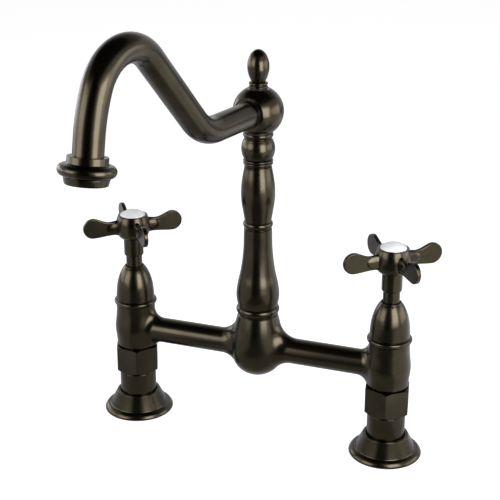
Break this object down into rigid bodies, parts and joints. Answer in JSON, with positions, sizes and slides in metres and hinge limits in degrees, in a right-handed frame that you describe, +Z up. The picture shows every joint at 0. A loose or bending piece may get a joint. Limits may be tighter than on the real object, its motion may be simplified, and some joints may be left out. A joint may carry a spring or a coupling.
{
  "type": "bridge kitchen faucet",
  "caption": "Deck-mounted bridge kitchen faucet: hot and cold valves joined by a tube bridge, a turned riser with a swivelling gooseneck spout, and cross handles with porcelain buttons.",
  "frame": {"origin": "deck plane, midway between the centres of the two inlets", "axes": "+X from the hot valve to the cold valve, -Y towards the user, +Z up; the spout is stored as in the picture, 9 degrees towards the hot side of -Y, and both valves are shut"},
  "size_m": [0.2624, 0.2411, 0.3308],
  "materials": {
    "oil_rubbed_bronze": "satin dark brown patina with warm highlights",
    "bare_brass": "machined",
    "porcelain": "glazed white",
    "ceramic": "lapped",
    "rubber": "moulded",
    "acetal": "moulded black plastic",
    "fibre": "pressed red fibre",
    "steel": "stainless"
  },
  "bodies": {
    "root": {"bridge_hub": "oil_rubbed_bronze", "riser_washer": "fibre", "riser": "oil_rubbed_bronze", "swivel_post": "bare_brass", "post_o_rings": "rubber", "swivel_washer": "acetal", "finial_washer": "acetal", "finial": "oil_rubbed_bronze", "base_flange_hot": "oil_rubbed_bronze", "inlet_shank_hot": "oil_rubbed_bronze", "union_nut_hot": "oil_rubbed_bronze", "union_washer_hot": "fibre", "union_tail_hot": "bare_brass", "valve_body_hot": "oil_rubbed_bronze", "bridge_tube_hot": "oil_rubbed_bronze", "cartridge_hot": "bare_brass", "seat_seal_hot": "rubber", "fixed_disc_hot": "ceramic", "bonnet_hot": "oil_rubbed_bronze", "base_flange_cold": "oil_rubbed_bronze", "inlet_shank_cold": "oil_rubbed_bronze", "union_nut_cold": "oil_rubbed_bronze", "union_washer_cold": "fibre", "union_tail_cold": "bare_brass", "valve_body_cold": "oil_rubbed_bronze", "bridge_tube_cold": "oil_rubbed_bronze", "cartridge_cold": "bare_brass", "seat_seal_cold": "rubber", "fixed_disc_cold": "ceramic", "bonnet_cold": "oil_rubbed_bronze"},
    "spout": {"spout_hub": "oil_rubbed_bronze", "spout_tube": "oil_rubbed_bronze", "spout_collar": "oil_rubbed_bronze", "aerator_housing": "oil_rubbed_bronze", "aerator_screen": "acetal", "aerator_gasket": "rubber"},
    "hot_handle": {"moving_disc_hot": "ceramic", "stem_hot": "bare_brass", "stem_o_ring_hot": "rubber", "stem_extension_hot": "oil_rubbed_bronze", "handle_hot": "oil_rubbed_bronze", "handle_screw_hot": "steel", "index_button_hot": "porcelain"},
    "cold_handle": {"moving_disc_cold": "ceramic", "stem_cold": "bare_brass", "stem_o_ring_cold": "rubber", "stem_extension_cold": "oil_rubbed_bronze", "handle_cold": "oil_rubbed_bronze", "handle_screw_cold": "steel", "index_button_cold": "porcelain"}
  },
  "joints": [
    {"name": "spout_swivel", "type": "hinge", "parent": "root", "child": "spout", "pos_m": [0, 0, 0.2519], "axis": [0, 0, 1], "continuous": true},
    {"name": "hot_handle_turn", "type": "hinge", "parent": "root", "child": "hot_handle", "pos_m": [-0.1016, 0, 0.1534], "axis": [0, 0, 1], "range_deg": [0, 90]},
    {"name": "cold_handle_turn", "type": "hinge", "parent": "root", "child": "cold_handle", "pos_m": [0.1016, 0, 0.1534], "axis": [0, 0, 1], "range_deg": [-90, 0]}
  ]
}
